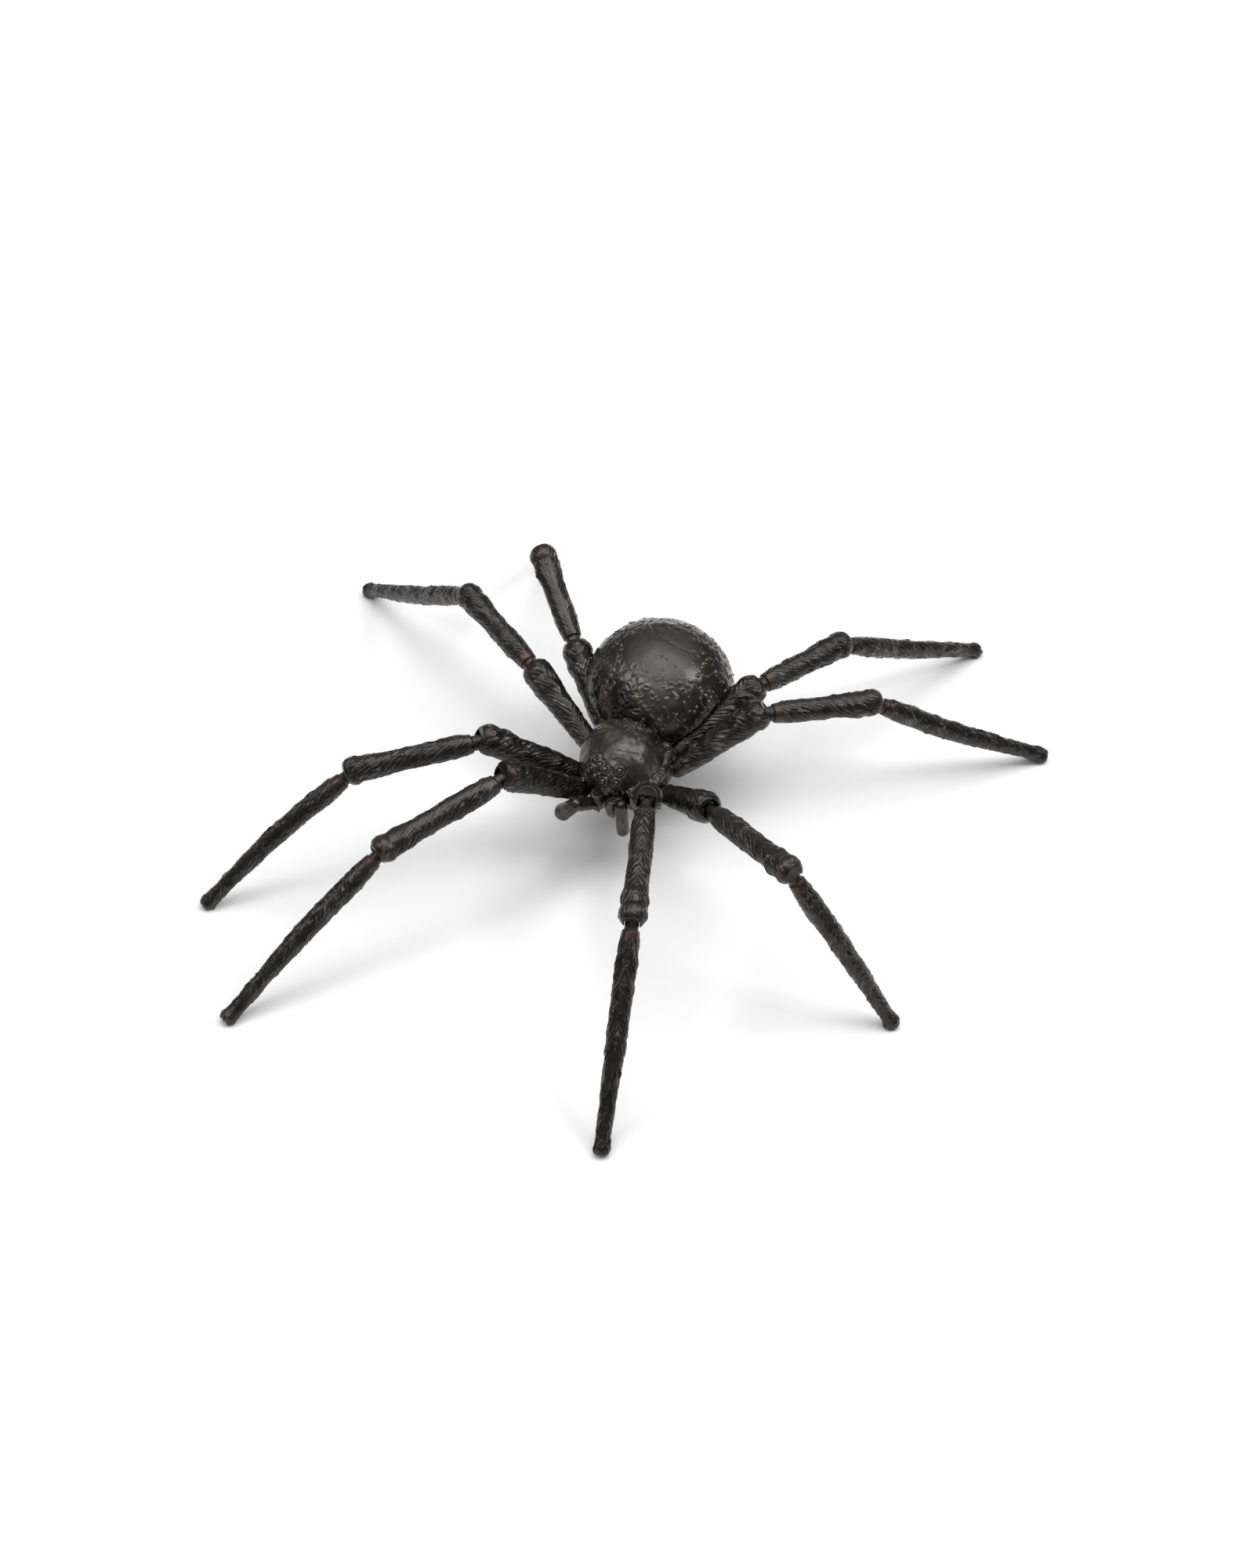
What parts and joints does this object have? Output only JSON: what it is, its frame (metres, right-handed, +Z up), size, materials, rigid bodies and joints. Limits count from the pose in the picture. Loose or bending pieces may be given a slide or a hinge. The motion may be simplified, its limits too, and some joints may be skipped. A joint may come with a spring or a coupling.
{
  "type": "posable spider figure",
  "caption": "Posable cast-metal spider figure with a hollow abdomen and jointed legs, a desktop ornament or articulated model.",
  "frame": {"origin": "on the ground, under the middle of the figure's overall box in its rest pose", "axes": "+Z up; +Y from the head towards the abdomen, so the spider faces -Y; its left side is +X"},
  "size_m": [0.2064, 0.2086, 0.0513],
  "materials": {
    "casting": "dark patinated bronze casting, satin, brown-black with worn high spots",
    "pin": "patinated bronze pin, filed flush",
    "fastener": "oil-blackened steel",
    "eye": "gloss black-brown beads"
  },
  "bodies": {
    "trunk": {"carapace": "casting", "sternum_plate": "casting", "sternum_screws": "fastener", "hip_pins": "pin", "eye_beads": "eye", "pedicel_stud": "fastener", "pedicel_nut": "fastener", "abdomen_upper_shell": "casting", "abdomen_lower_shell": "casting", "spinnerets": "casting", "right_chelicera": "casting", "right_fang": "casting", "right_palp": "casting", "left_chelicera": "casting", "left_fang": "casting", "left_palp": "casting"},
    "right_leg_1_femur_body": {"right_leg_1_femur": "casting", "right_leg_1_knee_pin": "pin"},
    "right_leg_1_tibia_body": {"right_leg_1_tibia": "casting", "right_leg_1_shin_pin": "pin"},
    "right_leg_1_metatarsus_body": {"right_leg_1_metatarsus": "casting"},
    "right_leg_2_femur_body": {"right_leg_2_femur": "casting", "right_leg_2_knee_pin": "pin"},
    "right_leg_2_tibia_body": {"right_leg_2_tibia": "casting", "right_leg_2_shin_pin": "pin"},
    "right_leg_2_metatarsus_body": {"right_leg_2_metatarsus": "casting"},
    "right_leg_3_femur_body": {"right_leg_3_femur": "casting", "right_leg_3_knee_pin": "pin"},
    "right_leg_3_tibia_body": {"right_leg_3_tibia": "casting", "right_leg_3_shin_pin": "pin"},
    "right_leg_3_metatarsus_body": {"right_leg_3_metatarsus": "casting"},
    "right_leg_4_femur_body": {"right_leg_4_femur": "casting", "right_leg_4_knee_pin": "pin"},
    "right_leg_4_tibia_body": {"right_leg_4_tibia": "casting", "right_leg_4_shin_pin": "pin"},
    "right_leg_4_metatarsus_body": {"right_leg_4_metatarsus": "casting"},
    "left_leg_1_femur_body": {"left_leg_1_femur": "casting", "left_leg_1_knee_pin": "pin"},
    "left_leg_1_tibia_body": {"left_leg_1_tibia": "casting", "left_leg_1_shin_pin": "pin"},
    "left_leg_1_metatarsus_body": {"left_leg_1_metatarsus": "casting"},
    "left_leg_2_femur_body": {"left_leg_2_femur": "casting", "left_leg_2_knee_pin": "pin"},
    "left_leg_2_tibia_body": {"left_leg_2_tibia": "casting", "left_leg_2_shin_pin": "pin"},
    "left_leg_2_metatarsus_body": {"left_leg_2_metatarsus": "casting"},
    "left_leg_3_femur_body": {"left_leg_3_femur": "casting", "left_leg_3_knee_pin": "pin"},
    "left_leg_3_tibia_body": {"left_leg_3_tibia": "casting", "left_leg_3_shin_pin": "pin"},
    "left_leg_3_metatarsus_body": {"left_leg_3_metatarsus": "casting"},
    "left_leg_4_femur_body": {"left_leg_4_femur": "casting", "left_leg_4_knee_pin": "pin"},
    "left_leg_4_tibia_body": {"left_leg_4_tibia": "casting", "left_leg_4_shin_pin": "pin"},
    "left_leg_4_metatarsus_body": {"left_leg_4_metatarsus": "casting"}
  },
  "joints": [
    {"name": "right_1_swing", "type": "hinge", "parent": "trunk", "child": "right_leg_1_femur_body", "pos_m": [-0.00728, -0.00046, 0.0215], "axis": [0, 0, -1], "range_deg": [-4, 4]},
    {"name": "right_1_knee", "type": "hinge", "parent": "right_leg_1_femur_body", "child": "right_leg_1_tibia_body", "pos_m": [-0.02434, -0.01906, 0.03772], "axis": [0.7821, -0.6111, 0.1219], "range_deg": [-12, 20]},
    {"name": "right_1_shin", "type": "hinge", "parent": "right_leg_1_tibia_body", "child": "right_leg_1_metatarsus_body", "pos_m": [-0.04802, -0.05032, 0.03294], "axis": [0.7821, -0.6111, 0.1219], "range_deg": [-12, 20]},
    {"name": "right_2_swing", "type": "hinge", "parent": "trunk", "child": "right_leg_2_femur_body", "pos_m": [-0.00888, 0.00474, 0.0215], "axis": [0, 0, -1], "range_deg": [-3, 14]},
    {"name": "right_2_knee", "type": "hinge", "parent": "right_leg_2_femur_body", "child": "right_leg_2_tibia_body", "pos_m": [-0.0345, -0.008, 0.03691], "axis": [0.5327, -0.8203, 0.2079], "range_deg": [-12, 20]},
    {"name": "right_2_shin", "type": "hinge", "parent": "right_leg_2_tibia_body", "child": "right_leg_2_metatarsus_body", "pos_m": [-0.06527, -0.02846, 0.03502], "axis": [0.5327, -0.8203, 0.2079], "range_deg": [-12, 20]},
    {"name": "right_3_swing", "type": "hinge", "parent": "trunk", "child": "right_leg_3_femur_body", "pos_m": [-0.00888, 0.01004, 0.0215], "axis": [0, 0, -1], "range_deg": [-14, 0]},
    {"name": "right_3_knee", "type": "hinge", "parent": "right_leg_3_femur_body", "child": "right_leg_3_tibia_body", "pos_m": [-0.03269, 0.02605, 0.03026], "axis": [-0.5439, -0.8375, 0.0523], "range_deg": [-12, 20]},
    {"name": "right_3_shin", "type": "hinge", "parent": "right_leg_3_tibia_body", "child": "right_leg_3_metatarsus_body", "pos_m": [-0.05947, 0.04375, 0.03534], "axis": [-0.5439, -0.8375, 0.0523], "range_deg": [-12, 20]},
    {"name": "right_4_swing", "type": "hinge", "parent": "trunk", "child": "right_leg_4_femur_body", "pos_m": [-0.00808, 0.01514, 0.0215], "axis": [0, 0, -1], "range_deg": [-8, 0]},
    {"name": "right_4_knee", "type": "hinge", "parent": "right_leg_4_femur_body", "child": "right_leg_4_tibia_body", "pos_m": [-0.0258, 0.03892, 0.02863], "axis": [-0.8101, -0.5261, -0.2588], "range_deg": [-12, 20]},
    {"name": "right_4_shin", "type": "hinge", "parent": "right_leg_4_tibia_body", "child": "right_leg_4_metatarsus_body", "pos_m": [-0.04368, 0.06078, 0.04014], "axis": [-0.8101, -0.5261, -0.2588], "range_deg": [-12, 20]},
    {"name": "left_1_swing", "type": "hinge", "parent": "trunk", "child": "left_leg_1_femur_body", "pos_m": [0.00712, -0.00046, 0.0215], "axis": [0, 0, 1], "range_deg": [-2, 20]},
    {"name": "left_1_knee", "type": "hinge", "parent": "left_leg_1_femur_body", "child": "left_leg_1_tibia_body", "pos_m": [0.01429, -0.01976, 0.04332], "axis": [0.965, 0.2406, -0.1045], "range_deg": [-12, 20]},
    {"name": "left_1_shin", "type": "hinge", "parent": "left_leg_1_tibia_body", "child": "left_leg_1_metatarsus_body", "pos_m": [0.0237, -0.0581, 0.04195], "axis": [0.965, 0.2406, -0.1045], "range_deg": [-12, 20]},
    {"name": "left_2_swing", "type": "hinge", "parent": "trunk", "child": "left_leg_2_femur_body", "pos_m": [0.00872, 0.00474, 0.0215], "axis": [0, 0, 1], "range_deg": [-3, 14]},
    {"name": "left_2_knee", "type": "hinge", "parent": "left_leg_2_femur_body", "child": "left_leg_2_tibia_body", "pos_m": [0.02875, -0.01405, 0.03888], "axis": [0.5068, 0.811, 0.2924], "range_deg": [-12, 20]},
    {"name": "left_2_shin", "type": "hinge", "parent": "left_leg_2_tibia_body", "child": "left_leg_2_metatarsus_body", "pos_m": [0.05781, -0.03529, 0.04744], "axis": [0.5068, 0.811, 0.2924], "range_deg": [-12, 20]},
    {"name": "left_3_swing", "type": "hinge", "parent": "trunk", "child": "left_leg_3_femur_body", "pos_m": [0.00872, 0.01004, 0.0215], "axis": [0, 0, 1], "range_deg": [-14, 0]},
    {"name": "left_3_knee", "type": "hinge", "parent": "left_leg_3_femur_body", "child": "left_leg_3_tibia_body", "pos_m": [0.03027, 0.02549, 0.03553], "axis": [-0.5426, 0.8355, -0.0872], "range_deg": [-12, 20]},
    {"name": "left_3_shin", "type": "hinge", "parent": "left_leg_3_tibia_body", "child": "left_leg_3_metatarsus_body", "pos_m": [0.05755, 0.04292, 0.03271], "axis": [-0.5426, 0.8355, -0.0872], "range_deg": [-12, 20]},
    {"name": "left_4_swing", "type": "hinge", "parent": "trunk", "child": "left_leg_4_femur_body", "pos_m": [0.00792, 0.01514, 0.0215], "axis": [0, 0, 1], "range_deg": [-6, 0]},
    {"name": "left_4_knee", "type": "hinge", "parent": "left_leg_4_femur_body", "child": "left_leg_4_tibia_body", "pos_m": [0.02469, 0.03901, 0.03041], "axis": [-0.8079, 0.587, -0.0523], "range_deg": [-12, 20]},
    {"name": "left_4_shin", "type": "hinge", "parent": "left_leg_4_tibia_body", "child": "left_leg_4_metatarsus_body", "pos_m": [0.04261, 0.06368, 0.03041], "axis": [-0.8079, 0.587, -0.0523], "range_deg": [-12, 20]}
  ]
}
